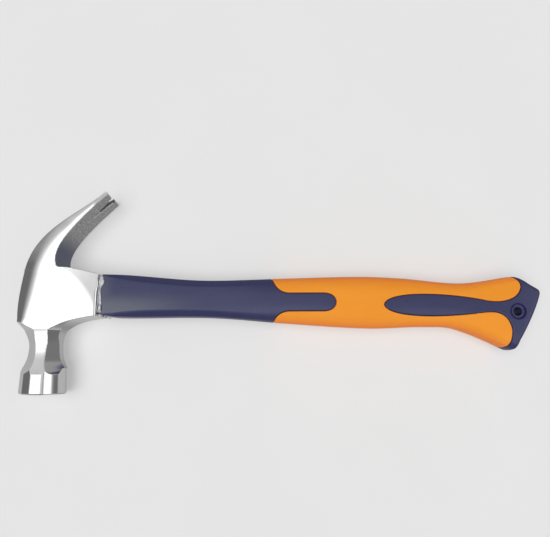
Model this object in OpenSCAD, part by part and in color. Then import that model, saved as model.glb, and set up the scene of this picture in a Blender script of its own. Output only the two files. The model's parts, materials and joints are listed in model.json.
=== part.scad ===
// Claw hammer with a polished forged head and a two-shot moulded handle on a fibreglass core.
// It lies on its side: +X runs along the handle from the head to the butt, +Y is the claw side,
// -Y is the striking side and +Z is up. The origin is the middle of the underside of its box.

/* [Head] */
// Distance across the flats of the poll
poll_across = 29; // [27:0.5:31]
// Distance across the flats of the neck at its thinnest
neck_across = 20; // [18:0.5:22]
// Width of the cheeks and claws
head_width = 27; // [25:0.5:28]
// Distance from the handle's line to the striking face
face_drop = 59.6; // [56:0.2:64]
// Width of the nail slot at the claw tips
slot_mouth = 7; // [6.6:0.1:7.6]

/* [Handle] */
// Thickness of the bare neck of the handle
neck_thick = 22; // [20:0.5:23]
// Thickness of the grip at its swell
grip_thick = 27; // [25:0.5:28]
// Thickness of the butt
butt_thick = 28; // [26:0.5:29]
// Flat of the chamfers along the bare neck
neck_chamfer = 4; // [3:0.5:5]
// Thickness of the rubber over the jacket
rubber_wall = 2.6; // [2:0.1:3]
// Diameter of the hang hole
hang_bore = 5.4; // [5:0.1:6]
// Diameter of the dished mouth of the hang hole
hang_mouth = 10; // [9:0.5:11]
// Depth of the dished mouth of the hang hole
hang_dish = 2; // [1:0.25:3]

/* [Core and resin] */
// Height of the oval fibreglass rod
core_high = 16; // [14:0.5:16.5]
// Thickness of the oval fibreglass rod
core_thick = 13; // [11:0.5:14]
// Thickness of the resin round the core at the handle side of the eye
resin_wall = 1.4; // [1:0.1:1.8]

/* [Hidden] */
$fn = 48;

// Places along the hammer, from the poll's own axis at x = 0 and the handle's line at y = 0
crown_x = -15.6;
boss_x = 35.2;
jacket_x = 37.2;
grip_x = 145.2;
butt_x = 313.4;
claw_tip = [37.0, 69.7];
claw_edge = [39.2, 66.4];
cheek_half = head_width / 2;

// The fibreglass rod is straight and falls a little towards the butt
core_from = -13;
core_to = 284;
core_y = 2.2;
core_fall = 1.3;

hang_at = [297.3, -8.5];

// The skin of the handle is lofted past the butt and then cut to the butt's outline
skin_to = 318;
ring_step = 6;
// The jacket reaches this far forward of the rubber's edge, under the rubber, and back to under_to
under_lead = 4;
under_to = 306;

function bezier(p, steps) = [for (i = [0 : steps]) let (t = i / steps, s = 1 - t)
    s * s * s * p[0] + 3 * s * s * t * p[1] + 3 * s * t * t * p[2] + t * t * t * p[3]];

// Height of a smooth curve through knots [x, value], with level ends
function knot_slope(k, i) = i == 0 || i == len(k) - 1 ? 0
    : (k[i + 1][1] - k[i - 1][1]) / (k[i + 1][0] - k[i - 1][0]);
function knot_span(k, x, i = 0) = i == len(k) - 2 || x < k[i + 1][0] ? i : knot_span(k, x, i + 1);
function along(k, x) = let (
    i = knot_span(k, x),
    w = k[i + 1][0] - k[i][0],
    t = max(0, min(1, (x - k[i][0]) / w)),
    t2 = t * t,
    t3 = t2 * t)
    (2 * t3 - 3 * t2 + 1) * k[i][1] + (t3 - 2 * t2 + t) * w * knot_slope(k, i)
    + (3 * t2 - 2 * t3) * k[i + 1][1] + (t3 - t2) * w * knot_slope(k, i + 1);

// Closed solid through rings of points that all have the same number of points
module loft(rings) {
    n = len(rings[0]);
    last = len(rings) - 1;
    polyhedron(
        points = [for (ring = rings) each ring],
        faces = concat(
            [[for (j = [0 : n - 1]) j]],
            [for (i = [0 : last - 1], j = [0 : n - 1]) let (k = (j + 1) % n)
                each [[i * n + j, (i + 1) * n + j, (i + 1) * n + k], [i * n + j, (i + 1) * n + k, i * n + k]]],
            [[for (j = [n - 1 : -1 : 0]) last * n + j]]),
        convexity = 8);
}

// Moves a sub-part from the design's lines to the hammer's own origin
module placed() {
    translate([-(crown_x + butt_x) / 2, -(claw_tip[1] - face_drop) / 2, poll_across / 2])
        children();
}

// ---- Head ----

back_curve = [[crown_x, -10.4], [crown_x, 42.3], [-2.6, 38.0], claw_tip];
inside_curve = [claw_edge, [14.8, 43.8], [4, 30], [4, -10.4]];
boss_top_curve = [[8.5, 23.3], [9.2, 18], [18, 20.5], [boss_x + 4, 15.2]];

// Octagonal poll and neck, and the flare that carries the neck into the cheeks:
// [y, left side, right side, half width, left corner, right corner]
function octagon_row(y, half) = let (corner = half * (2 - sqrt(2))) [y, -half, half, half, corner, corner];
poll_half = poll_across / 2;
neck_half = neck_across / 2;
neck_rows = [
    octagon_row(-face_drop, poll_half - 0.8),
    octagon_row(-face_drop + 0.8, poll_half),
    octagon_row(-45.2, poll_half - 0.5),
    octagon_row(-44.6, poll_half - 1.2),
    octagon_row(-42.4, neck_half + 2.5),
    octagon_row(-40, neck_half + 1.3),
    octagon_row(-37, neck_half + 0.5),
    octagon_row(-33, neck_half),
    octagon_row(-29, neck_half),
    [-25.5, -10.4, 9.8, 10.9, 6.2, 6],
    [-22.5, -11.9, 10.1, 12, 6.8, 5.8],
    [-19.6, -13.7, 11.1, cheek_half, 8.5, 5.4],
    [-17.2, -15.0, 13.6, cheek_half, 6.2, 3.6],
    [-15, -15.6, 17, cheek_half, 3.8, 1.8],
    [-13.2, -15.6, 20.8, cheek_half, 3.6, 0.9],
    [-12, -15.6, 27, cheek_half, 3.6, 0.6],
    [-11.1, -15.6, boss_x + 3, cheek_half, 3.6, 0.6],
    [-8, -15.6, boss_x + 3, cheek_half, 3.6, 0.6]];

function octagon_ring(r) = let (y = r[0], a = r[1], b = r[2], h = r[3], p = r[4], q = r[5]) [
    [a, y, h - p], [a + p, y, h], [b - q, y, h], [b, y, h - q],
    [b, y, -(h - q)], [b - q, y, -h], [a + p, y, -h], [a, y, -(h - p)]];

// Claws and crown, as rings across the curve, with a rounded back and a crisp inner edge
claw_steps = 26;
claw_back = bezier(back_curve, claw_steps);
claw_inside = bezier(inside_curve, claw_steps);
function claw_ring(i) = let (
    t = i / claw_steps,
    back = claw_back[i],
    inner = claw_inside[claw_steps - i],
    depth = norm(back - inner),
    way = (inner - back) / depth,
    half = cheek_half - 0.25 * t,
    round_in = min(6 - 3 * t, depth * 0.8),
    round_down = 7 - 2 * t,
    upper = concat(
        [for (a = [90 : -22.5 : 0]) [round_in * (1 - sin(a)), half - round_down * (1 - cos(a))]],
        [[depth, half]]),
    lower = [for (j = [len(upper) - 1 : -1 : 0]) [upper[j][0], -upper[j][1]]])
    [for (p = concat(upper, lower)) [back[0] + way[0] * p[0], back[1] + way[1] * p[0], p[1]]];

module claws() {
    loft([for (i = [0 : claw_steps]) claw_ring(i)]);
}

// The block of the cheeks and the eye boss
module boss() {
    edge = 0.7;
    outline = concat(
        bezier(boss_top_curve, 8),
        [[boss_x + 4, -9.5], [-6, -9.5], [-8, 8], [-4, 30]]);
    for (inset = [0, edge])
        linear_extrude(height = head_width - 2 * (edge - inset), center = true)
            offset(delta = -inset)
                polygon(outline);
}

// Wedge between the claws, with its point towards the root, drawn a little past the claw tips
slot_root = [27.9, 53];
slot_way = claw_edge - slot_root;
slot_overrun = 1.15;
module nail_slot() {
    reach = norm(slot_way) * slot_overrun;
    mouth = slot_mouth * slot_overrun / 2;
    translate([slot_root[0], slot_root[1], 0])
        rotate([0, 0, atan2(slot_way[1], slot_way[0])])
            rotate([90, 0, 0])
                linear_extrude(height = 36, center = true)
                    polygon([[0, 0.5], [reach, mouth], [reach, -mouth], [0, -0.5]]);
}

// Oval section, long in Y, drawn in the plane across the handle
module oval(high, thick) {
    hull()
        for (side = [-1, 1])
            translate([side * (high - thick) / 2, 0])
                circle(d = thick);
}

module along_core(from, to) {
    translate([0, core_y, 0])
        rotate([0, 0, -core_fall])
            translate([from, 0, 0])
                rotate([90, 0, 90])
                    linear_extrude(height = to - from)
                        children();
}

// The eye widens towards the crown, so that the set resin wedges the head on
crown_flare = 0.8;
module eye() {
    hull() {
        along_core(boss_x - 1, boss_x + 3)
            oval(core_high + 2 * resin_wall, core_thick + 2 * resin_wall);
        along_core(crown_x - 3, crown_x + 1)
            oval(core_high + 2 * (resin_wall + crown_flare), core_thick + 2 * (resin_wall + crown_flare));
    }
}

module head() {
    color("silver")
        placed()
            resize([0, 0, 0])
                difference() {
                    union() {
                        claws();
                        intersection() {
                            union() {
                                loft([for (row = neck_rows) octagon_ring(row)]);
                                boss();
                            }
                            // Squares off the end of the boss
                            translate([boss_x - 100, -100, -50])
                                cube([100, 200, 100]);
                        }
                    }
                    nail_slot();
                    eye();
                }
}

// ---- Handle ----

top_line = [[30, 15.3], [52, 15.2], [102, 11.7], [150, 13.4], [200, 14.7], [228, 13.6], [266, 10.4],
    [300, 14.9], [320, 16]];
low_line = [[30, -9.4], [46, -11.4], [104, -11.4], [150, -15], [205, -18.3], [242, -17.4], [262, -19],
    [297, -32], [320, -44]];
half_thick = [[30, neck_thick / 2], [110, neck_thick / 2], [185, grip_thick / 2],
    [245, grip_thick / 2 - 1.2], [290, butt_thick / 2], [320, butt_thick / 2]];
// 0 is the chamfered section of the bare neck, 1 the rounded section of the grip
roundness = [[30, 0], [110, 0], [165, 1], [255, 1], [290, 0.5], [320, 0.5]];

// Superellipse power of the rounded section
grip_power = 2.7;
ring_angles = [for (q = [0 : 3], a = [0, 25, 45, 65]) 90 * q + a];
function chamfer_point(angle, a, b, c) = let (
    q = angle % 90,
    swap = floor(angle / 90) % 2 == 1,
    p = swap ? b : a,
    r = swap ? a : b,
    flat = q == 0 ? [p, 0] : q == 25 ? [p, r - c] : q == 45 ? [p - c / 2, r - c / 2] : [p - c, r],
    turn = floor(angle / 90))
    turn == 0 ? flat : turn == 1 ? [-flat[1], flat[0]] : turn == 2 ? -flat : [flat[1], -flat[0]];
function power(v, e) = sign(v) * pow(abs(v), e);
function round_point(angle, a, b) = [a * power(cos(angle), 2 / grip_power), b * power(sin(angle), 2 / grip_power)];

function handle_ring(x, inset) = let (
    top = along(top_line, x) - inset,
    low = along(low_line, x) + inset,
    half = along(half_thick, x) - inset,
    mix = along(roundness, x),
    middle = (top + low) / 2,
    high = (top - low) / 2)
    [for (angle = ring_angles) let (
        p = (1 - mix) * chamfer_point(angle, high, half, neck_chamfer) + mix * round_point(angle, high, half))
        [x, middle + p[0], p[1]]];

// The handle's outer surface, or the jacket's surface under the rubber
module handle_body(from, to, inset) {
    count = ceil((to - from) / ring_step);
    loft([for (i = [0 : count]) handle_ring(from + (to - from) * i / count, inset)]);
}

// Slanted end of the butt, seen from the side
butt_edge = [
    [[butt_x - 22.4, -32.9], [butt_x - 16.9, -33.4], [butt_x - 15.9, -28.6], [butt_x - 13.8, -25.2]],
    [[butt_x - 13.8, -25.2], [butt_x - 8.4, -15.5], [butt_x - 2.9, -5.5], [butt_x - 0.7, 1.6]],
    [[butt_x - 0.7, 1.6], [butt_x + 1.52, 6.4], [butt_x - 1.4, 6.6], [butt_x - 5.8, 9.6]],
    [[butt_x - 5.8, 9.6], [butt_x - 9.6, 12.2], [butt_x - 10.8, 13.4], [butt_x - 14.8, 15.6]]];
module butt_outline(inset) {
    offset(delta = -inset)
        polygon(concat(
            [[20, -60], [262, -60]],
            [for (curve = butt_edge) each [for (p = bezier(curve, 6)) p]],
            [[262, 40], [20, 40]]));
}

// Where the rubber shows, seen from the side
module rubber_outline() {
    difference() {
        union() {
            translate([grip_x, -40])
                square([130, 80]);
            // The two lobes that reach past the hang tongue to the butt
            hull() {
                translate([293.5, 6.6])
                    circle(r = 7);
                translate([274, -1.2])
                    square([1, 20]);
                translate([285, 25])
                    circle(r = 4);
            }
            hull() {
                translate([285, -20.5])
                    circle(r = 8.8);
                translate([274, -40])
                    square([1, 30.6]);
                translate([272, -40])
                    circle(r = 4);
            }
        }
        front_tongue();
        hang_tongue();
    }
}

// Rounded tongue of the jacket that runs into the front of the rubber
module front_tongue() {
    fillet = 9;
    offset(r = -fillet)
        offset(delta = fillet)
            union() {
                translate([grip_x - 60, -60])
                    square([60, 120]);
                hull() {
                    translate([178.8, -2.5])
                        circle(r = 5.7);
                    translate([grip_x - 1, -8.2])
                        square([1, 11.4]);
                }
            }
}

// Leaf-shaped tongue of the jacket that runs forward from the butt
module hang_tongue() {
    tip = [214.8, -4.2];
    polygon(concat(
        bezier([[285, -2.6], [252, 4.6], [218, 4.5], tip], 16),
        bezier([tip, [219, -11.5], [252, -13], [285, -9]], 16)));
}

module through(height = 60) {
    linear_extrude(height = height, center = true)
        children();
}

module hang_hole() {
    translate([hang_at[0], hang_at[1], 0]) {
        cylinder(d = hang_bore, h = 60, center = true);
        for (side = [0, 180])
            rotate([side, 0, 0])
                translate([0, 0, butt_thick / 2 - hang_dish])
                    cylinder(d1 = hang_bore + 1.4, d2 = hang_mouth + 2.5, h = 2 * hang_dish);
    }
}

module core_space() {
    along_core(core_from, core_to)
        oval(core_high, core_thick);
}

module handle_jacket() {
    color([0.16, 0.17, 0.32])
        placed()
            difference() {
                resize([0, 0, 0])
                    difference() {
                        union() {
                            intersection() {
                                handle_body(jacket_x, skin_to, 0);
                                through()
                                    difference() {
                                        butt_outline(0);
                                        rubber_outline();
                                    }
                            }
                            intersection() {
                                handle_body(grip_x - under_lead, under_to, rubber_wall);
                                through()
                                    butt_outline(rubber_wall);
                            }
                        }
                        core_space();
                    }
                hang_hole();
            }
}

module grip_overmould() {
    color([0.93, 0.59, 0.19])
        placed()
            resize([0, 0, 0])
                difference() {
                    intersection() {
                        handle_body(jacket_x, skin_to, 0);
                        through()
                            intersection() {
                                butt_outline(0);
                                rubber_outline();
                            }
                    }
                    handle_body(grip_x - under_lead, under_to, rubber_wall);
                }
}

// ---- Core and resin ----

module fibreglass_core() {
    color([0.85, 0.83, 0.68])
        placed()
            core_space();
}

// The resin stops a little below the face of the crown
resin_sink = 0.8;

// Bead squeezed out between the boss and the jacket
module resin_bead() {
    loft([for (x = [boss_x : (jacket_x - boss_x) / 4 : jacket_x])
        handle_ring(x, 1 - 0.6 * sin(180 * (x - boss_x) / (jacket_x - boss_x)))]);
}

module eye_resin() {
    color([0.82, 0.8, 0.72])
        placed()
            resize([0, 0, 0])
                difference() {
                    union() {
                        intersection() {
                            eye();
                            through()
                                polygon([
                                    [crown_x + resin_sink, -40],
                                    claw_back[0] + [resin_sink, 0],
                                    claw_back[8] + [resin_sink, 0],
                                    [boss_x + 0.8, 40],
                                    [boss_x + 0.8, -40]]);
                        }
                        resin_bead();
                    }
                    core_space();
                }
}

head();
fibreglass_core();
handle_jacket();
grip_overmould();
eye_resin();
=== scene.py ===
"""Claw hammer: high-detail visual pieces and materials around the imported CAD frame.

Each visible piece is described by a field, a function of the points of space that is negative
inside the piece, and contour() turns it into a mesh with crisp edges. Fields work in the design's
own millimetres: the poll's axis at x = 0, the handle's line at y = 0 and the middle plane at z = 0.
"""
import json
import math

import bpy
import numpy as np
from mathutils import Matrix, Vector

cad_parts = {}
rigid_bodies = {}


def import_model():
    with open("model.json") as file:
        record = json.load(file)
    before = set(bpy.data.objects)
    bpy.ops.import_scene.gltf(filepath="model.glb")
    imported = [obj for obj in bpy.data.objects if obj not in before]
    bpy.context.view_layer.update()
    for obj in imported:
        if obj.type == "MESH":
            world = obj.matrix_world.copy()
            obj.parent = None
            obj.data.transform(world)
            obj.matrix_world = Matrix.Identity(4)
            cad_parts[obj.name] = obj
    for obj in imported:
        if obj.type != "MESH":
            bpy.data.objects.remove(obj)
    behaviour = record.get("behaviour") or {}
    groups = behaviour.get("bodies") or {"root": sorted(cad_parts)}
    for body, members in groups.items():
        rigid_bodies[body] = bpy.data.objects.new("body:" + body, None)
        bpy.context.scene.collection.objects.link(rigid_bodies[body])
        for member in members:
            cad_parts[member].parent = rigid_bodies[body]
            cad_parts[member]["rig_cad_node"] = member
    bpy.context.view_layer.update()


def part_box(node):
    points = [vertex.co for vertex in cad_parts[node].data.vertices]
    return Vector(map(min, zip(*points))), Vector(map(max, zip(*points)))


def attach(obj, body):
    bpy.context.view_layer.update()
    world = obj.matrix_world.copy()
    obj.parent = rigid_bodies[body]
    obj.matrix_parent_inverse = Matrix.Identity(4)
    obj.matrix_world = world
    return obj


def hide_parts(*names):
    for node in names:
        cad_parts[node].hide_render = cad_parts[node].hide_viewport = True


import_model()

MM = 0.001
HEAD_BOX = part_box("head")

# Driving sizes of the design, in millimetres, as in the CAD model
POLL_AXIS_FROM_CROWN = 15.6
FACE_DROP = 59.6
POLL_HALF = 14.5
CHEEK_HALF = 13.5
SLOT_MOUTH = 7.0
BOSS_X = 35.2
GRIP_X = 145.2
CLAW_TIP = (37.0, 69.7)
CLAW_EDGE = (39.2, 66.4)
BUTT_THICK = 28.0
RUBBER_WALL = 2.6
HANG_AT = (297.3, -8.5)
HANG_BORE = 5.4
CORE_HIGH = 16.0
CORE_THICK = 13.0
CORE_END = 284.0
CORE_LIFT = 2.2
CORE_SLOPE = math.tan(math.radians(1.3))
# Room for resin round the core at the handle's side of the eye, and how much more at the crown
EYE_ROOM = 1.4
EYE_FLARE = 0.8
# Gap left round glued or moulded faces that touch
CLEARANCE = 0.03

# Where the design's origin lies in the frame
ORIGIN = np.array([
    HEAD_BOX[0][0] + POLL_AXIS_FROM_CROWN * MM,
    HEAD_BOX[0][1] + FACE_DROP * MM,
    (HEAD_BOX[0][2] + HEAD_BOX[1][2]) / 2])


# ---------------------------------------------------------------- curves and profiles

class Profile:
    """A smooth curve through knots (x, value), level at both ends."""

    STEP = 0.05

    def __init__(self, knots):
        kx, ky = np.array(knots, float).T
        slope = np.zeros(len(kx))
        slope[1:-1] = (ky[2:] - ky[:-2]) / (kx[2:] - kx[:-2])
        x = np.arange(kx[0], kx[-1], self.STEP)
        i = np.clip(np.searchsorted(kx, x, side="right") - 1, 0, len(kx) - 2)
        w = kx[i + 1] - kx[i]
        t = (x - kx[i]) / w
        t2, t3 = t * t, t * t * t
        self.x = x
        self.value = ((2 * t3 - 3 * t2 + 1) * ky[i] + (t3 - 2 * t2 + t) * w * slope[i]
                      + (3 * t2 - 2 * t3) * ky[i + 1] + (t3 - t2) * w * slope[i + 1])
        self.slope = np.gradient(self.value, x)

    def __call__(self, x):
        return np.interp(x, self.x, self.value)

    def steep(self, x):
        return np.interp(x, self.x, self.slope, left=0, right=0)


def line(a, b):
    """A straight stretch, written as a cubic curve."""
    a, b = np.array(a, float), np.array(b, float)
    return [a, a + (b - a) / 3, a + (b - a) * 2 / 3, b]


class Outline:
    """A run of cubic curves in the XY plane, with the solid on its left."""

    GRID = 0.12

    def __init__(self, curves, lo, hi, samples=14):
        self.p = np.array(curves, float)
        t = np.linspace(0, 1, samples + 1)
        self.t0 = np.tile((t[:-1] + t[1:]) / 2, len(self.p))
        self.piece = np.repeat(np.arange(len(self.p)), samples)
        self.start = self.point(self.piece, self.t0)
        ends = self.unit_tangent(np.arange(len(self.p)), np.ones(len(self.p)))
        starts = self.unit_tangent(np.arange(len(self.p)), np.zeros(len(self.p)))
        self.joint_after = ends + np.roll(starts, -1, axis=0)
        self.joint_before = starts + np.roll(ends, 1, axis=0)
        closed = np.allclose(self.p[0, 0], self.p[-1, 3])
        if not closed:
            self.joint_after[-1] = ends[-1]
            self.joint_before[0] = starts[0]
        self.lo = np.array(lo, float)
        self.shape = np.ceil((np.array(hi) - self.lo) / self.GRID).astype(int) + 1
        grid = [self.lo[a] + self.GRID * np.arange(self.shape[a]) for a in (0, 1)]
        self.table = self.exact(*np.meshgrid(*grid, indexing="ij"))

    def point(self, i, t):
        t = t[:, None]
        s = 1 - t
        p = self.p[i]
        return s**3 * p[:, 0] + 3 * s * s * t * p[:, 1] + 3 * s * t * t * p[:, 2] + t**3 * p[:, 3]

    def tangent(self, i, t):
        t = t[:, None]
        s = 1 - t
        p = self.p[i]
        return 3 * (s * s * (p[:, 1] - p[:, 0]) + 2 * s * t * (p[:, 2] - p[:, 1])
                    + t * t * (p[:, 3] - p[:, 2]))

    def bend(self, i, t):
        t = t[:, None]
        p = self.p[i]
        return 6 * ((1 - t) * (p[:, 2] - 2 * p[:, 1] + p[:, 0]) + t * (p[:, 3] - 2 * p[:, 2] + p[:, 1]))

    def unit_tangent(self, i, t):
        v = self.tangent(i, np.clip(t, 1e-4, 1 - 1e-4))
        return v / np.linalg.norm(v, axis=1, keepdims=True)

    def nearest(self, x, y):
        """Piece and parameter of the nearest point, for flat arrays x and y."""
        q = np.stack([x, y], axis=1)
        best = np.full(len(q), np.inf)
        pick = np.zeros(len(q), int)
        for k, s in enumerate(self.start):
            d = (q[:, 0] - s[0])**2 + (q[:, 1] - s[1])**2
            closer = d < best
            best[closer] = d[closer]
            pick[closer] = k
        i, t = self.piece[pick], self.t0[pick]
        for _ in range(5):
            d = self.point(i, t) - q
            v = self.tangent(i, t)
            speed = (v * v).sum(1)
            bend = np.maximum(speed + (d * self.bend(i, t)).sum(1), 0.3 * speed)
            closer = np.clip(t - (d * v).sum(1) / bend, 0, 1)
            better = ((self.point(i, closer) - q)**2).sum(1) < (d * d).sum(1)
            t = np.where(better, closer, t)
        return i, t

    def signed(self, x, y):
        """Signed distance, negative on the left of the run, read from a fine grid."""
        u = np.clip((x - self.lo[0]) / self.GRID, 0, self.shape[0] - 1.001)
        v = np.clip((y - self.lo[1]) / self.GRID, 0, self.shape[1] - 1.001)
        i, j = u.astype(int), v.astype(int)
        u, v = u - i, v - j
        at = self.table
        return ((1 - u) * ((1 - v) * at[i, j] + v * at[i, j + 1])
                + u * ((1 - v) * at[i + 1, j] + v * at[i + 1, j + 1]))

    def exact(self, x, y):
        """Signed distance worked out from the curves themselves."""
        shape = np.shape(x)
        x, y = np.ravel(x), np.ravel(y)
        i, t = self.nearest(x, y)
        away = np.stack([x, y], axis=1) - self.point(i, t)
        way = self.unit_tangent(i, t)
        way = np.where((t > 0.999)[:, None], self.joint_after[i], way)
        way = np.where((t < 0.001)[:, None], self.joint_before[i], way)
        side = way[:, 0] * away[:, 1] - way[:, 1] * away[:, 0]
        return (-np.sign(side) * np.linalg.norm(away, axis=1)).reshape(shape)


def smooth_max(a, b, radius):
    """The larger of two fields, with the edge between them rounded."""
    h = np.maximum(radius - np.abs(a - b), 0) / radius
    return np.maximum(a, b) + h * h * radius / 4


def smooth_min(a, b, radius):
    return -smooth_max(-a, -b, radius)


def oval(u, v, high, thick):
    """Distance to an oval of two half circles, long in u."""
    run = (high - thick) / 2
    return np.hypot(np.maximum(np.abs(u) - run, 0), v) - thick / 2


# ---------------------------------------------------------------- contouring

# Cells on a side of the blocks that the field is first looked at in
BLOCK = 8
# A block is near the surface when its middle is within this many of its half diagonals, and a bit
REACH, REACH_EXTRA = 1.6, 0.3
# Grid points worked out in one go, to spare memory
BATCH = 400000
# A direction in which a cell's normals vary less than this share of the most is taken as flat
FLAT_SHARE = 0.06


def gradient(field, p, step=0.02):
    """The field's unit gradient at the points p."""
    g = np.empty_like(p)
    for axis in range(3):
        d = np.zeros(3)
        d[axis] = step
        g[:, axis] = field(*(p + d).T) - field(*(p - d).T)
    return g / np.maximum(np.linalg.norm(g, axis=1, keepdims=True), 1e-12)


def grid_points(axes, at):
    return np.stack([axes[a][at[:, a]] for a in range(3)], axis=1)


def sample(field, axes):
    """Field values on a grid, worked out in full only in the blocks near the surface."""
    shape = np.array([len(a) for a in axes])
    blocks = -(-(shape - 1) // BLOCK)
    first = np.stack(np.indices(blocks), axis=-1).reshape(-1, 3) * BLOCK
    last = np.minimum(first + BLOCK, shape - 1)
    low, high = grid_points(axes, first), grid_points(axes, last)
    middle = field(*((low + high) / 2).T)
    near = np.abs(middle) <= np.linalg.norm(high - low, axis=1) / 2 * REACH + REACH_EXTRA
    values = np.full(shape, np.inf, np.float32)
    mask = np.zeros(shape, bool)
    for a, b, value, close in zip(first, last, middle, near):
        box = tuple(slice(i, j + 1) for i, j in zip(a, b))
        if close:
            mask[box] = True
        else:
            part = values[box]
            part[~np.isfinite(part)] = value
    at = np.stack(np.nonzero(mask), axis=1)
    found = np.empty(len(at), np.float32)
    for start in range(0, len(at), BATCH):
        batch = slice(start, start + BATCH)
        found[batch] = field(*grid_points(axes, at[batch]).T)
    values[mask] = found
    return values


def root(field, p0, p1, f0, f1):
    """The point between each p0 and p1 where the field, f0 and f1 at the ends, is zero."""
    for _ in range(3):
        t = np.clip(f0 / (f0 - f1), 0.02, 0.98)[:, None]
        p = p0 + t * (p1 - p0)
        f = field(*p.T)
        same = (f < 0) == (f0 < 0)
        p0 = np.where(same[:, None], p, p0)
        f0 = np.where(same, f, f0)
        p1 = np.where(same[:, None], p1, p)
        f1 = np.where(same, f1, f)
    return p0 + (f0 / (f0 - f1))[:, None] * (p1 - p0)


def crossings(field, axes, values, axis):
    """Where grid edges along one axis cross the surface, and the four cells round each, in turn."""
    inside = values < 0
    first, second = [slice(None)] * 3, [slice(None)] * 3
    first[axis], second[axis] = slice(None, -1), slice(1, None)
    at = np.stack(np.nonzero(inside[tuple(first)] != inside[tuple(second)]), axis=1)
    b, c = [a for a in range(3) if a != axis]
    at = at[((at > 0) & (at < np.array(values.shape) - 1))[:, [b, c]].all(axis=1)]
    beyond = at.copy()
    beyond[:, axis] += 1
    ends = [values[tuple(end.T)].astype(float) for end in (at, beyond)]
    points = root(field, grid_points(axes, at), grid_points(axes, beyond), *ends)
    ring = []
    for db, dc in ((-1, -1), (0, -1), (0, 0), (-1, 0)):
        cell = at.copy()
        cell[:, b] += db
        cell[:, c] += dc
        ring.append(np.ravel_multi_index(cell.T, np.array(values.shape) - 1))
    ring = np.stack(ring, axis=1)
    outward = inside[tuple(at.T)] != (axis == 1)
    return points, np.where(outward[:, None], ring, ring[:, ::-1])


def cell_vertices(points, normals, cell_of, count):
    """One vertex for each cell, where the planes through its points come nearest to meeting."""

    def total(v):
        return np.stack([np.bincount(cell_of, v[:, k], count) for k in range(v.shape[1])], axis=1)

    mass = total(points) / np.bincount(cell_of, minlength=count)[:, None]
    away = points - mass[cell_of]
    matrix = total((normals[:, :, None] * normals[:, None, :]).reshape(-1, 9)).reshape(-1, 3, 3)
    right = total(normals * (normals * away).sum(1, keepdims=True))
    value, vector = np.linalg.eigh(matrix)
    inverse = np.where(value > FLAT_SHARE * value[:, 2:3], 1 / np.maximum(value, 1e-9), 0)
    return mass + np.einsum("nij,nj,nkj,nk->ni", vector, inverse, vector, right)


def contour(field, lo, hi, step):
    """Dual contouring: vertices and quads of the field's zero surface, with crisp edges kept."""
    step = np.array(step)
    axes = [np.arange(lo[a], hi[a] + step[a], step[a]) for a in range(3)]
    values = sample(field, axes)
    found = [crossings(field, axes, values, axis) for axis in range(3)]
    points = np.concatenate([p for p, ring in found])
    quads = np.concatenate([ring for p, ring in found])
    once, back = np.unique(points.round(7), axis=0, return_inverse=True)
    normals = gradient(field, once)[back.ravel()]
    used, cell_of = np.unique(quads, return_inverse=True)
    cell_of = cell_of.ravel()
    vertex = cell_vertices(np.repeat(points, 4, axis=0), np.repeat(normals, 4, axis=0), cell_of, len(used))
    base = grid_points(axes, np.stack(np.unravel_index(used, np.array(values.shape) - 1), axis=1))
    return np.clip(vertex, base - 0.1 * step, base + 1.1 * step), cell_of.reshape(quads.shape)


def built(name, field, lo, hi, step):
    """The field's surface as an object in metres, shaded with the field's own normals."""
    vertex, faces = contour(field, lo, hi, step)
    mesh = bpy.data.meshes.new(name)
    mesh.from_pydata((vertex * MM + ORIGIN).tolist(), [], faces.tolist())
    mesh.shade_smooth()
    corner = vertex[faces]
    middle = corner.mean(axis=1, keepdims=True)
    # Read a little inside each face, so that a crisp edge keeps a normal for each of its sides
    normal = gradient(field, (corner + 0.35 * (middle - corner)).reshape(-1, 3), 0.05)
    mesh.normals_split_custom_set(normal.tolist())
    mesh.update()
    piece = bpy.data.objects.new(name, mesh)
    bpy.context.scene.collection.objects.link(piece)
    return piece


def design_points(piece):
    """The vertices of a piece in the design's millimetres."""
    found = np.empty(len(piece.data.vertices) * 3)
    piece.data.vertices.foreach_get("co", found)
    return (found.reshape(-1, 3) - ORIGIN) / MM


def mark(piece, name, amount):
    """Stores a number on every vertex, for the material to read."""
    layer = piece.data.attributes.new(name, "FLOAT", "POINT")
    layer.data.foreach_set("value", np.asarray(amount, np.float32))


def ease(t):
    """A smooth step from 0 to 1."""
    t = np.clip(t, 0, 1)
    return t * t * (3 - 2 * t)


# ---------------------------------------------------------------- head

HEAD_LO, HEAD_HI = (-18, -62), (42, 72)
BACK = Outline([
    line((60, 79.6), CLAW_TIP),
    [CLAW_TIP, (24.3, 56.1), (-8.9, 45.7), (-13.4, 17.5)],
    [(-13.4, 17.5), (-15.0, 7.8), (-16.8, -2.6), (-15.4, -13)],
    line((-15.4, -13), (-15.4, -70))], HEAD_LO, HEAD_HI)
INSIDE = Outline([
    line((60, 10.6), (36.0, 15.4)),
    [(36.0, 15.4), (28, 17.0), (20, 19.6), (12.0, 19.7)],
    [(12.0, 19.7), (9.2, 19.8), (8.6, 20.4), (8.3, 23.6)],
    [(8.3, 23.6), (7.1, 31.6), (14.8, 43.8), CLAW_EDGE],
    line(CLAW_EDGE, (53, 79.2))], HEAD_LO, HEAD_HI)

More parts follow.
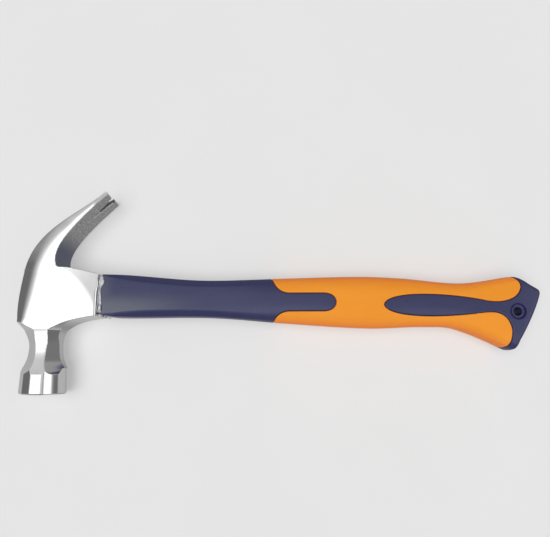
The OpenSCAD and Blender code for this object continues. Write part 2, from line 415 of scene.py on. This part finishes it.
# The neck's five visible sides: direction of each from +Z towards +X, in degrees, and its distance
# from the neck's axis down the neck, as (y, distance)
NECK_SIDES = [
    (-90, Profile([
        (-46.4, 15.6), (-44.8, 14.7), (-43, 13.4), (-41, 12.3), (-37, 10.9), (-32, 10.2), (-29, 10.2),
        (-24.6, 11.4), (-20.1, 13.8), (-14.8, 15.8), (-11, 26)])),
    (-49.4, Profile([
        (-48, 14.9), (-46.2, 12.8), (-43.5, 11.1), (-40.5, 9.8), (-37, 8.85), (-33, 8.33), (-28, 8.32),
        (-24.6, 9.2), (-22, 9.95), (-19.5, 11.1), (-17.2, 14.5), (-15, 17.75), (-12, 26.8)])),
    (0, Profile([
        (-52, 15.1), (-49.5, 14.5), (-47, 13.85), (-44, 13.1), (-40, 12.15), (-36, 11.25), (-33, 10.65),
        (-30.5, 10.25), (-28, 10.05), (-25.5, 10.6), (-23.5, 11.4), (-19.5, 13.5), (-16, 16.5), (-12, 30)])),
    (50, Profile([
        (-48.6, 15.2), (-46.6, 13.6), (-43.5, 12.3), (-40.5, 11.3), (-37, 10.6), (-33, 10.1), (-28, 10.0),
        (-24, 11.0), (-21.5, 12.0), (-19.5, 13.2), (-17.2, 16.4), (-14.8, 20.7), (-13.2, 24.9),
        (-11.9, 29.7), (-11, 34.2), (-10, 45.8)])),
    (90, Profile([
        (-46.4, 16), (-45, 15.2), (-42.2, 13.1), (-38.4, 11.3), (-34, 10.4), (-28, 10), (-24, 9.9),
        (-20.5, 11), (-17.5, 13.4), (-15, 17), (-13.3, 21.2), (-12.1, 26.5), (-11.2, 36), (-10.4, 60)]))]
# Hand-ground flats of the poll: direction of each from +Z towards +X, in degrees, and its distance
POLL_FLATS = [(-90, 14.3), (-54, 13.71), (-30, 14.1), (0, POLL_HALF), (20.5, 15.16), (36, 14.93), (54, 14.8),
              (74, 14.03), (90, 14.5)]
POLL_TAPER = 0.045
POLL_TOP = -43.5
POLL_CHAMFER = 0.9
# Crowning of the striking face, as a share of the square of the radius
FACE_CROWN = 0.0012


def out_from_axis(degrees, x, z):
    """How far a point lies from the poll's axis, measured in one direction from +Z towards +X."""
    return x * math.sin(math.radians(degrees)) + z * math.cos(math.radians(degrees))


def side_of_neck(profile, degrees, x, y, z):
    return (out_from_axis(degrees, x, z) - profile(y)) / np.sqrt(1 + profile.steep(y)**2)


# Width of the band that rolls over from the cheek to the back, and its slope at the back, by y
CROWN_BAND = Profile([(-20, 5), (-11, 8.6), (-4, 11), (6, 12.6), (25, 12.8), (35, 11), (42, 9.4), (48, 8),
                      (53, 6.2), (58, 4.6), (63, 3.4), (70, 2.4)])
CROWN_SLOPE = Profile([(-20, 0.76), (-4, 0.72), (24, 0.7), (36, 0.64), (47, 0.52), (58, 0.42), (70, 0.36)])


def crown_field(x, y, z):
    """The back of the crown and claws, and the band that rolls over into the flat cheeks."""
    back = BACK.signed(x, y)
    width, slope = CROWN_BAND(y), CROWN_SLOPE(y)
    t = np.clip(1 + back / width, 0, 1.3)
    limit = CHEEK_HALF + 3 * np.maximum(-21 - y, 0)
    roll = (z - limit + 0.5 * slope * width * t * t) / np.sqrt(1 + (slope * t)**2)
    thinner = 0.9 * ease((y - 58) / 12)
    return np.maximum(smooth_max(roll, back + 0.006 * z * z, 0.6), z - limit + thinner)


def cheek_field(x, y, z):
    """The flat cheek, which eases down towards the handle beyond a curved line across the boss."""
    over = 0.761 * (x - 12.8) + 0.649 * (y - 16.6)
    run = np.clip((0.649 * (x - 12.8) - 0.761 * (y - 16.6)) / 32.2, 0, 1)
    over = np.maximum(over - 11.2 * run * (1 - run), 0) * (y < 22)
    fall = np.where(over < 3, over * over / 6, over - 1.5)
    return z - CHEEK_HALF + 0.1 * fall


def eye_field(x, y, z):
    """The tapered oval eye through the head."""
    t = np.clip((BOSS_X - x) / (BOSS_X + POLL_AXIS_FROM_CROWN), -0.1, 1.1)
    grow = EYE_ROOM + EYE_FLARE * t
    return oval(y - CORE_LIFT + CORE_SLOPE * x, z, CORE_HIGH + 2 * grow, CORE_THICK + 2 * grow)


SLOT_ROOT = np.array([27.9, 53.0])
SLOT_REACH = float(np.linalg.norm(np.array(CLAW_EDGE) - SLOT_ROOT))
SLOT_WAY = (np.array(CLAW_EDGE) - SLOT_ROOT) / SLOT_REACH
SLOT_ROOT_HALF = 0.5


def along_slot(x, y):
    """Distance from the root of the nail slot towards its mouth."""
    return (x - SLOT_ROOT[0]) * SLOT_WAY[0] + (y - SLOT_ROOT[1]) * SLOT_WAY[1]


def slot_field(x, y, z):
    """The nail slot, negative inside, bevelled along both sides of the claws and grooved at its root."""
    s = along_slot(x, y)
    flare = 0.03 * np.maximum(s - 12, 0)**2
    half = SLOT_ROOT_HALF + (SLOT_MOUTH / 2 - SLOT_ROOT_HALF) * s / SLOT_REACH + flare
    inner = INSIDE.signed(x, y)
    wedge = np.maximum(z - half, -s)
    bevel = np.maximum((z - half - 0.5 - inner) * 0.7071, -s - 0.5)
    groove = np.maximum((z - 0.2 - 0.7 * inner) * 0.8, -s - 1.5)
    back = z - half - 3 * ease((s - 11) / 5) - BACK.signed(x, y)
    return np.minimum.reduce([wedge, bevel, groove, np.maximum(back * 0.7071, 11 - s)])


def head_field(x, y, z):
    """The forging, with its two halves mirrored about the middle plane."""
    z = np.abs(z)
    far_left, left, top, right, far_right = [side_of_neck(side, a, x, y, z) for a, side in NECK_SIDES]
    neck = np.maximum.reduce([far_left, left, smooth_max(top, right, 0.3), far_right])
    taper = POLL_TAPER * (y + FACE_DROP) - 4 * np.maximum(y - POLL_TOP, 0)
    poll = taper - 20
    for degrees, distance in POLL_FLATS:
        poll = smooth_max(poll, out_from_axis(degrees, x, z) - distance + taper, 0.5)
    face = FACE_CROWN * (x * x + z * z) - FACE_DROP - y
    chamfer = (poll - (y + FACE_DROP) + POLL_CHAMFER) * 0.7071
    end = x - BOSS_X - np.maximum(y - 24, 0) * 5
    block = smooth_max(cheek_field(x, y, z), end, 0.6 + 1.3 * ease((6.5 - y) / 2.5))
    block = smooth_max(block, INSIDE.signed(x, y), 0.5)
    block = block - 3 * np.maximum(-25 - y, 0)
    tip = (x - CLAW_TIP[0]) * 0.83 + (y - CLAW_TIP[1]) * 0.557
    return np.maximum.reduce([neck, poll, face, chamfer, crown_field(x, y, z), block, tip,
                              -slot_field(x, y, z), -eye_field(x, y, z)])


def make_head():
    step = 0.45
    side = 34.5 * step
    piece = built("hammer_head", head_field, (-17.4, -60.4, -side), (41.0, 71.0, side), (step,) * 3)
    x, y, z = design_points(piece).T
    inner = INSIDE.signed(x, y)
    forged = ease((inner + 0.45) / 0.3) * (y > 19)
    in_slot = (np.abs(slot_field(x, y, np.abs(z))) < 0.1) * (y > 30)
    wall = in_slot & (inner < -0.5)
    mark(piece, "forged", np.where(in_slot & (inner > -0.5), 0.8, np.maximum(forged, in_slot)))
    # Painted bluish shade on the forged faces at the root of the claws
    mark(piece, "painted_crook_shade", forged * ease((44 - y) / 14))
    # Painted shade on the walls of the nail slot, from about 4 mm past its root to the mouth
    mark(piece, "slot", wall * ease((along_slot(x, y) - 4) / 4))
    return piece


# ---------------------------------------------------------------- handle

# The handle's outline, thickness and section along x. ROUNDNESS is 0 where the section is a chamfered
# oblong and 1 where it is a rounded one, of power GRIP_POWER.
TOP_LINE = Profile([(30, 15.3), (52, 15.2), (102, 11.7), (150, 13.4), (200, 14.7), (228, 13.6), (266, 10.4),
                    (300, 14.9), (320, 16)])
LOW_LINE = Profile([(30, -9.4), (46, -11.4), (104, -11.4), (150, -15), (205, -18.3), (242, -17.4), (262, -19),
                    (297, -33.6), (320, -47)])
HALF_THICK = Profile([(30, 11), (110, 11), (185, 13.5), (245, 12.3), (290, 14), (320, 14)])
ROUNDNESS = Profile([(30, 0), (110, 0), (165, 1), (255, 1), (290, 0.5), (320, 0.5)])
NECK_CHAMFER = Profile([(34, 0.5), (40, 1.7), (50, 3.3), (66, 4.3), (110, 4.3)])
# Left end of the jacket, which the moulding left uneven, by y
JACKET_START = Profile([(-13, 36.9), (-9.9, 36.7), (-8.1, 37.3), (-1.2, 37.0), (4.5, 36.5), (7, 36.9),
                        (9.6, 38.4), (12.4, 38.8), (14, 37.4), (16, 36.8)])
GRIP_POWER = 2.7
# The flats are not quite flat: how far they fall from the middle to the edge
FLAT_CROWN = 1.1


def handle_field(x, y, z, inset=0.0):
    """The handle's long body without its ends, smaller all round by the inset."""
    top = TOP_LINE(x) - inset
    low = LOW_LINE(x) + inset
    half = HALF_THICK(x) - inset
    mix = ROUNDNESS(x)
    high = (top - low) / 2
    u = np.abs(y - (top + low) / 2)
    v = np.abs(z)
    flats = np.maximum(u - high, v - half + FLAT_CROWN * (u / high)**2)
    corner = (u + v - (high + half - NECK_CHAMFER(x))) * 0.7071
    chamfered = smooth_max(flats, corner, 0.7)
    ratio = np.power(np.power(u / high, GRIP_POWER) + np.power(v / half, GRIP_POWER), 1 / GRIP_POWER)
    rounded = (ratio - 1) * np.minimum(high, half)
    return (1 - mix) * chamfered + mix * rounded


BUTT = Outline([
    line((20, -70), (262, -70)),
    line((262, -70), (291.0, -35.0)),
    [(291.0, -35.0), (296.4, -35.4), (296.8, -30.0), (299.2, -25.2)],
    [(299.2, -25.2), (304.5, -15.5), (309.8, -5.5), (312.1, 1.4)],
    [(312.1, 1.4), (313.7, 5.3), (311.7, 5.7), (307.0, 8.7)],
    [(307.0, 8.7), (303.6, 11.2), (302.4, 12.7), (298.6, 15.2)],
    line((298.6, 15.2), (262, 40)),
    line((262, 40), (20, 40)),
    line((20, 40), (20, -70))], (34, -38), (318, 20))

# Edge of the rubber, seen from the side, with the rubber on its left
TONGUE_LOW = -8.2
TONGUE_HIGH = 3.2
RUBBER_START = 144.4
RUBBER_END = 287.8
RUBBER = Outline([
    line((RUBBER_START, 30), (RUBBER_START, 13)),
    [(RUBBER_START, 13), (146.4, 7.0), (149.4, 3.3), (156, TONGUE_HIGH)],
    line((156, TONGUE_HIGH), (177.5, TONGUE_HIGH)),
    [(177.5, TONGUE_HIGH), (187, 2.6), (187, -7.6), (177.5, TONGUE_LOW)],
    line((177.5, TONGUE_LOW), (155.5, TONGUE_LOW)),
    [(155.5, TONGUE_LOW), (149.4, -8.6), (146.4, -11.5), (RUBBER_START, -17)],
    line((RUBBER_START, -17), (RUBBER_START, -60)),
    line((RUBBER_START, -60), (RUBBER_END, -60)),
    line((RUBBER_END, -60), (RUBBER_END, -33.3)),
    [(RUBBER_END, -33.3), (292.6, -30.4), (294.6, -22.5), (292.4, -16.4)],
    [(292.4, -16.4), (288.6, -7.2), (281, -8.6), (273.8, -9.4)],
    [(273.8, -9.4), (250, -12.4), (216.5, -12.4), (214.6, -4.0)],
    [(214.6, -4.0), (217, 4.4), (252, 4.3), (279.5, -1.9)],
    [(279.5, -1.9), (287, -3.2), (298.5, -1.9), (300.4, 7.2)],
    [(300.4, 7.2), (300.6, 10.5), (298, 13.4), (294.5, 15)],
    line((294.5, 15), (280, 30)),
    line((280, 30), (RUBBER_START, 30))], (140, -38), (318, 20), samples=10)
# The seam between the colours: half its width, the rounding of its edges, and the mould's parting line
SEAM_GAP = 0.14
SEAM_ROUND = 0.7
PARTING_LINE = 0.12
BUTT_ROUND = 2.6
DISH_RADIUS = 5.1
DISH_DEPTH = 1.5
LIP_RADIUS = 3.7


def outer_field(x, y, z):
    """The whole moulded handle, with the edge of the butt rounded over."""
    body = handle_field(x, y, z)
    body = smooth_max(body, BUTT.signed(x, y), BUTT_ROUND)
    return smooth_max(body, JACKET_START(y) - x, 0.8)


def hang_field(x, y, z):
    """The hang hole and its dished mouth, negative inside, with a lip round the bore."""
    r = np.hypot(x - HANG_AT[0], y - HANG_AT[1])
    below = BUTT_THICK / 2 - np.abs(z)
    bore = r - HANG_BORE / 2
    dish = smooth_max(r - DISH_RADIUS + 0.45 * below, below - DISH_DEPTH, 0.6)
    lip = np.maximum(r - LIP_RADIUS, 0.9 - below)
    return np.minimum(bore, np.maximum(dish, -lip))


def core_field(x, y, z):
    """The fibreglass rod."""
    return oval(y - CORE_LIFT + CORE_SLOPE * x, z, CORE_HIGH, CORE_THICK)


def jacket_field(x, y, z):
    """The first shot: the navy that shows, and the layer under the rubber, round the core."""
    shown = smooth_max(outer_field(x, y, z), SEAM_GAP - RUBBER.signed(x, y), SEAM_ROUND)
    under = np.maximum.reduce([
        handle_field(x, y, z, RUBBER_WALL), BUTT.signed(x, y) + RUBBER_WALL, GRIP_X - 4 - x, x - 306])
    space = np.maximum(core_field(x, y, z) - CLEARANCE, x - CORE_END)
    return np.maximum.reduce([np.minimum(shown, under), -hang_field(x, y, z), -space])


def grip_field(x, y, z):
    """The second shot: the rubber over the jacket, with a faint parting line round its edge."""
    flash = PARTING_LINE * np.exp(-(z / 0.5)**2)
    skin = smooth_max(outer_field(x, y, z) - flash, SEAM_GAP + RUBBER.signed(x, y), SEAM_ROUND)
    under = np.maximum(handle_field(x, y, z, RUBBER_WALL), BUTT.signed(x, y) + RUBBER_WALL)
    return np.maximum(skin, -under)


def make_jacket():
    piece = built("navy_jacket", jacket_field, (35.4, -36, -15), (316, 18, 15), (0.8, 0.55, 0.55))
    x, y, z = design_points(piece).T
    # Painted sheen: a greyer band on the lower part of the handle's top flat near the head
    mark(piece, "painted_sheen", ease((106 - x) / 66) * np.maximum(ease((5 - y) / 11), 0.5 * ease((47 - x) / 10)))
    return piece


def make_grip():
    return built("orange_grip", grip_field, (142, -36, -15), (304, 18, 15), (0.8, 0.5, 0.5))


# ---------------------------------------------------------------- resin

# Lumps of resin that squeezed out at the boss: centre and half sizes
LUMPS = [
    ((37.0, 10.4, 10.7), (1.7, 2.5, 1.2)), ((36.9, 12.6, 8.8), (1.6, 1.8, 2.2)),
    ((36.6, -6.2, 10.9), (0.8, 2.2, 0.9)), ((36.3, -10.6, 7.5), (1.3, 1.1, 2.6)),
    ((37.0, -8.8, -10.6), (1.5, 2.8, 1.2)), ((36.8, 3.4, -10.9), (0.9, 3.0, 0.9)),
    ((36.6, 12.2, -8.2), (1.4, 2.0, 2.4))]


def resin_field(x, y, z):
    """The plug round the core in the eye, and the uneven collar between boss and jacket."""
    plug = np.maximum.reduce([eye_field(x, y, z) + CLEARANCE, BACK.signed(x, y) + 0.7, x - BOSS_X + 0.5])
    collar = np.maximum.reduce([handle_field(x, y, z, 1.1), BOSS_X - 0.6 - x, x - JACKET_START(y) - 0.6])
    for centre, half in LUMPS:
        away = np.sqrt(sum(((p - c) / h)**2 for p, c, h in zip((x, y, z), centre, half)))
        collar = smooth_min(collar, np.maximum((away - 1) * min(half), BOSS_X - 0.1 - x), 0.5)
    return np.maximum(np.minimum(plug, collar), CLEARANCE - core_field(x, y, z))


def make_resin():
    return built("eye_resin_fill", resin_field, (-15.4, -12.5, -13), (40, 16, 13), (0.4, 0.36, 0.36))


# ---------------------------------------------------------------- materials

class Shader:
    """A Principled material with short helpers for its nodes."""

    def __init__(self, name, **constants):
        self.material = bpy.data.materials.new(name)
        self.material.use_nodes = True
        self.tree = self.material.node_tree
        self.bsdf = self.tree.nodes["Principled BSDF"]
        for key, value in constants.items():
            self.bsdf.inputs[key.replace("_", " ")].default_value = value
        self.place = self.node("ShaderNodeTexCoord").outputs["Object"]

    def node(self, kind, **settings):
        made = self.tree.nodes.new(kind)
        for key, value in settings.items():
            setattr(made, key, value)
        return made

    def join(self, source, target):
        self.tree.links.new(source, target)

    def stretched(self, scale):
        mapping = self.node("ShaderNodeMapping")
        mapping.inputs["Scale"].default_value = scale
        self.join(self.place, mapping.inputs["Vector"])
        return mapping.outputs["Vector"]

    def noise(self, scale, stretch=(1, 1, 1), detail=4.0, rough=0.55):
        made = self.node("ShaderNodeTexNoise")
        made.inputs["Scale"].default_value = scale
        made.inputs["Detail"].default_value = detail
        made.inputs["Roughness"].default_value = rough
        self.join(self.stretched(stretch), made.inputs["Vector"])
        return made.outputs["Fac"]

    def attribute(self, name):
        return self.node("ShaderNodeAttribute", attribute_name=name).outputs["Fac"]

    def ramp(self, source, stops):
        made = self.node("ShaderNodeValToRGB")
        slots = made.color_ramp.elements
        while len(slots) < len(stops):
            slots.new(0.5)
        for slot, (at, shade) in zip(slots, stops):
            slot.position = at
            slot.color = (*shade, 1) if isinstance(shade, tuple) else (shade, shade, shade, 1)
        self.join(source, made.inputs["Fac"])
        return made.outputs["Color"]

    def scaled(self, source, low, high):
        made = self.node("ShaderNodeMapRange")
        made.inputs["To Min"].default_value = low
        made.inputs["To Max"].default_value = high
        self.join(source, made.inputs["Value"])
        return made.outputs["Result"]

    def calc(self, kind, a, b):
        made = self.node("ShaderNodeMath", operation=kind)
        for slot, value in zip(made.inputs, (a, b)):
            if isinstance(value, (int, float)):
                slot.default_value = value
            else:
                self.join(value, slot)
        return made.outputs["Value"]

    def mix(self, factor, a, b):
        made = self.node("ShaderNodeMix", data_type="RGBA")
        self.join(factor, made.inputs["Factor"])
        for slot, value in zip(made.inputs[6:8], (a, b)):
            if isinstance(value, tuple):
                slot.default_value = (*value, 1)
            else:
                self.join(value, slot)
        return made.outputs[2]

    def bump(self, height, distance):
        made = self.node("ShaderNodeBump")
        made.inputs["Distance"].default_value = distance
        self.join(height, made.inputs["Height"])
        self.join(made.outputs["Normal"], self.bsdf.inputs["Normal"])

    def feed(self, source, socket):
        self.join(source, self.bsdf.inputs[socket])


def polished_steel():
    """Ground and polished steel, dark and rough as forged inside the claws, with painted bluish shade at
    their root and painted shade in the nail slot.
    """
    s = Shader("polished_steel", Metallic=1.0)
    forged = s.attribute("forged")
    blotch = s.noise(900, detail=6.0, rough=0.65)
    fleck = s.ramp(s.noise(1000, detail=3.0, rough=0.7), [(0.50, 0.0), (0.60, 1.0)])
    scale = s.mix(fleck, (0.52, 0.52, 0.52), (0.92, 0.92, 0.92))
    dark = s.mix(s.ramp(blotch, [(0.35, 1.0), (0.5, 0.0)]), scale, (0.38, 0.38, 0.385))
    # Painted bluish shade at the root of the claws
    dark = s.mix(s.attribute("painted_crook_shade"), dark, (0.22, 0.23, 0.31))
    # Painted shade in the nail slot
    dark = s.mix(s.attribute("slot"), dark, (0.16, 0.16, 0.16))
    smudge = s.noise(110, detail=3.0)
    clean = s.ramp(smudge, [(0.3, (0.80, 0.80, 0.80)), (0.7, (0.86, 0.86, 0.855))])
    s.feed(s.mix(forged, clean, dark), "Base Color")
    lines = s.noise(1, (700, 7000, 7000), detail=2.0)
    polish = s.calc("ADD", s.scaled(lines, 0.05, 0.11), s.scaled(smudge, 0.0, 0.06))
    rough = s.calc("MULTIPLY", s.scaled(blotch, 0.34, 0.56), forged)
    polish = s.calc("MULTIPLY", polish, s.calc("SUBTRACT", 1.0, forged))
    s.feed(s.calc("ADD", rough, polish), "Roughness")
    grain = s.calc("MULTIPLY", s.calc("ADD", blotch, s.scaled(fleck, 0.0, 0.3)), forged)
    s.bump(s.calc("ADD", grain, s.scaled(lines, 0.0, 0.012)), 0.00035)
    return s.material


def navy_plastic():
    """Semi-gloss moulded plastic with a faint texture, a painted deeper shade on the chamfers and a painted
    sheen near the head.
    """
    s = Shader("navy_plastic")
    cloud = s.noise(60, (0.35, 1, 1), detail=4.0)
    tone = s.ramp(cloud, [(0.3, (0.025, 0.027, 0.080)), (0.7, (0.033, 0.036, 0.096))])
    upward = s.node("ShaderNodeSeparateXYZ")
    s.join(s.node("ShaderNodeNewGeometry").outputs["Normal"], upward.inputs["Vector"])
    # Painted shade: faces that don't face straight up, the chamfers among them, get a deeper navy
    level = s.ramp(upward.outputs["Z"], [(0.93, 0.0), (0.985, 1.0)])
    tone = s.mix(level, (0.020, 0.021, 0.084), tone)
    # Painted sheen: greyer on the top flat near the head
    painted_sheen = s.calc("MULTIPLY", level, s.attribute("painted_sheen"))
    s.feed(s.mix(painted_sheen, tone, (0.088, 0.096, 0.128)), "Base Color")
    s.feed(s.scaled(s.noise(240, detail=5.0), 0.22, 0.40), "Roughness")
    s.bump(s.calc("ADD", s.noise(1800, detail=3.0), s.noise(160, (0.4, 1, 1), detail=2.0)), 0.00006)
    return s.material


def orange_rubber():
    """Matt soft-touch rubber, with a painted brighter, redder sheen towards its grazing edges."""
    s = Shader("orange_rubber")
    cloud = s.noise(45, (0.4, 1, 1), detail=4.0)
    tone = s.ramp(cloud, [(0.3, (0.80, 0.272, 0.016)), (0.7, (0.85, 0.305, 0.028))])
    # Painted sheen: the colour turns brighter and redder where the surface turns away from view
    edge = s.ramp(s.node("ShaderNodeLayerWeight").outputs["Facing"], [(0.12, 0.0), (0.55, 1.0)])
    s.feed(s.mix(edge, tone, (0.95, 0.25, 0.016)), "Base Color")
    s.feed(s.scaled(s.noise(400, detail=4.0), 0.46, 0.66), "Roughness")
    s.bump(s.calc("ADD", s.noise(2600, detail=3.0), s.noise(300, detail=2.0)), 0.00008)
    return s.material


def cloudy_resin():
    """Cast epoxy, cloudy and faintly uneven."""
    s = Shader("cloudy_resin", IOR=1.52)
    cloud = s.noise(420, detail=5.0)
    s.feed(s.ramp(cloud, [(0.35, (0.40, 0.40, 0.42)), (0.6, (0.66, 0.66, 0.67))]), "Base Color")
    s.feed(s.scaled(cloud, 0.12, 0.34), "Roughness")
    s.bump(cloud, 0.0003)
    return s.material


def pultruded_rod():
    """Fibreglass rod with its fibres running along the handle."""
    s = Shader("fibreglass_rod")
    fibres = s.noise(1, (60, 2400, 2400), detail=4.0)
    s.feed(s.ramp(fibres, [(0.3, (0.62, 0.58, 0.42)), (0.7, (0.86, 0.83, 0.68))]), "Base Color")
    s.feed(s.scaled(fibres, 0.3, 0.5), "Roughness")
    s.bump(fibres, 0.0001)
    return s.material


def paper():
    """Matt pale paper, lit a little from below."""
    s = Shader("pale_floor")
    s.feed(s.ramp(s.noise(9, detail=3.0), [(0.3, 0.435), (0.7, 0.45)]), "Base Color")
    s.bsdf.inputs["Emission Color"].default_value = (1, 1, 1, 1)
    s.bsdf.inputs["Emission Strength"].default_value = FLOOR_GLOW
    s.feed(s.scaled(s.noise(300), 0.8, 0.95), "Roughness")
    return s.material


# ---------------------------------------------------------------- stage

# Camera: place in metres, tilt up from straight down in degrees, sensor and lens in millimetres
CAMERA_AT = (-0.00249, -0.04222, 0.383)
CAMERA_TILT = 8.9
SENSOR = 36
LENS = 37.44

FLOOR_SIZE = 6
# Light that comes up through the table, as on a light table
FLOOR_GLOW = 0.33

# The key light: place in metres, width in degrees and power
KEY_AT = (-0.4, -0.2, 1.9)
KEY_WIDTH = 44
KEY_POWER = 2.3

# Brightness of the studio round the hammer's long axis: degrees from straight up towards +X, and value
STUDIO = [
    (-180, 0.30), (-172, 0.38), (-162, 0.52), (-112, 0.45), (-104, 0.16), (-64, 0.16), (-57, 0.27),
    (-51, 0.42), (-45, 0.62), (-38, 0.9), (-32, 1.3), (-27, 1.7), (-19, 1.7), (-15, 1.15), (-10, 0.78),
    (-4, 0.66), (10, 0.5), (20, 0.33), (24, 0.4), (30, 1.1), (48, 1.7), (56, 1.0), (63, 0.5), (70, 0.27),
    (84, 0.17), (108, 0.17), (124, 0.52), (158, 0.43), (172, 0.30), (180, 0.30)]
# The same on the side of +Y, and how far it takes over there: degrees from the XZ plane, and share
BEHIND = [(-90, 0.25), (-64, 0.32), (-50, 0.5), (-38, 0.6), (-24, 0.56), (44, 0.54), (60, 0.44), (76, 0.36),
          (100, 0.28)]
BEHIND_SHARE = [(0, 0.0), (17.5, 0.0), (23.5, 1.0), (90, 1.0)]
STUDIO_TOP = 1.7
# Gain on the side of -Y: degrees from the XZ plane, and factor; and the directions round the long
# axis where it holds
FRONT_GAIN = [(-90, 0.1), (-60, 0.3), (-42, 2.2), (-16, 2.5), (-1, 1.0), (90, 1.0)]
FRONT_GAIN_TOP = 2.5
FRONT_AT = [(-180, 0), (-19, 0), (-10, 1), (40, 1), (54, 0), (180, 0)]
# Share of the studio's light that reaches matt surfaces; the soft key light gives the rest
FILL_SHARE = 0.35
# Brightness of the pale backdrop beyond the table
BACKDROP = 0.82


def look_at_scene():
    camera = bpy.data.cameras.new("camera")
    camera.sensor_width = SENSOR
    camera.lens = LENS
    eye = bpy.data.objects.new("camera", camera)
    eye.location = CAMERA_AT
    eye.rotation_euler = (math.radians(CAMERA_TILT), 0, 0)
    bpy.context.scene.collection.objects.link(eye)
    bpy.context.scene.camera = eye


def floor():
    bpy.ops.mesh.primitive_plane_add(size=FLOOR_SIZE, location=(0, 0, 0))
    plane = bpy.context.object
    plane.name = "floor"
    plane.visible_glossy = False
    plane.data.materials.append(paper())


def ramp_of(tree, source, stops, widest, top=1):
    """A colour ramp of stops (degrees, value), read with a source that runs from 0 to 1 over +-widest."""
    made = tree.nodes.new("ShaderNodeValToRGB")
    slots = made.color_ramp.elements
    while len(slots) < len(stops):
        slots.new(0.5)
    for slot, (degrees, value) in zip(slots, stops):
        slot.position = (degrees + widest) / (2 * widest)
        slot.color = (value / top,) * 3 + (1,)
    tree.links.new(source, made.inputs["Fac"])
    return made.outputs["Color"]


def world():
    """Two soft boxes overhead, a dim gap between them and dark surroundings near the horizon.

    Its brightness depends on the direction's turn round the hammer's long axis and its lean towards Y.
    """
    w = bpy.data.worlds.new("studio")
    bpy.context.scene.world = w
    w.use_nodes = True
    tree = w.node_tree

    def step(kind, a, b=None):
        made = tree.nodes.new("ShaderNodeMath")
        made.operation = kind
        for slot, value in zip(made.inputs, (a, b)):
            if isinstance(value, (int, float)):
                slot.default_value = value
            elif value is not None:
                tree.links.new(value, slot)
        return made.outputs["Value"]

    def blend(a, b, share):
        return step("ADD", step("MULTIPLY", a, step("SUBTRACT", 1.0, share)), step("MULTIPLY", b, share))

    way = tree.nodes.new("ShaderNodeSeparateXYZ")
    tree.links.new(tree.nodes.new("ShaderNodeTexCoord").outputs["Generated"], way.inputs["Vector"])
    x, y, z = way.outputs
    turn = step("ADD", step("DIVIDE", step("ARCTAN2", x, z), 2 * math.pi), 0.5)
    lean = step("ADD", step("DIVIDE", step("ARCSINE", y), math.pi), 0.5)
    upper = step("GREATER_THAN", z, 0.0)

    across = ramp_of(tree, turn, STUDIO, 180, STUDIO_TOP)
    gain = step("MULTIPLY", ramp_of(tree, lean, FRONT_GAIN, 90, FRONT_GAIN_TOP), FRONT_GAIN_TOP)
    gain = blend(1.0, gain, ramp_of(tree, turn, FRONT_AT, 180))
    front = step("MINIMUM", step("MULTIPLY", across, gain), 1.0)
    behind = ramp_of(tree, turn, BEHIND, 180, STUDIO_TOP)
    share = step("MULTIPLY", ramp_of(tree, lean, BEHIND_SHARE, 90), upper)
    light = step("MULTIPLY", blend(blend(across, front, upper), behind, share), STUDIO_TOP)

    rays = tree.nodes.new("ShaderNodeLightPath").outputs
    fill = step("SUBTRACT", 1.0, step("MULTIPLY", rays["Is Diffuse Ray"], 1 - FILL_SHARE))
    strength = blend(step("MULTIPLY", light, fill), BACKDROP, rays["Is Camera Ray"])
    tree.links.new(strength, tree.nodes["Background"].inputs["Strength"])
    tree.nodes["Background"].inputs["Color"].default_value = (1, 1, 1, 1)


def key_light():
    """A large soft light from the upper left, which the steel doesn't mirror."""
    made = bpy.data.lights.new("key", "SUN")
    made.angle = math.radians(KEY_WIDTH)
    made.energy = KEY_POWER
    lamp = bpy.data.objects.new("key", made)
    lamp.location = KEY_AT
    lamp.rotation_euler = (-Vector(KEY_AT)).to_track_quat("-Z", "Y").to_euler()
    lamp.visible_glossy = False
    bpy.context.scene.collection.objects.link(lamp)


look_at_scene()
floor()
world()
key_light()
view = bpy.context.scene.view_settings
view.view_transform = "Standard"
view.look = "None"


def finished(piece, material, node):
    """Dresses a piece, hangs it on the root body and hides the CAD node it stands for."""
    piece.data.materials.append(material)
    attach(piece, "root")
    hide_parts(node)
    print(piece.name, len(piece.data.polygons), "faces")


finished(make_head(), polished_steel(), "head")
finished(make_jacket(), navy_plastic(), "handle_jacket")
finished(make_grip(), orange_rubber(), "grip_overmould")
finished(make_resin(), cloudy_resin(), "eye_resin")
for cad_piece in bpy.data.objects:
    if cad_piece.get("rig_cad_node") == "fibreglass_core":
        cad_piece.data.materials.clear()
        cad_piece.data.materials.append(pultruded_rod())
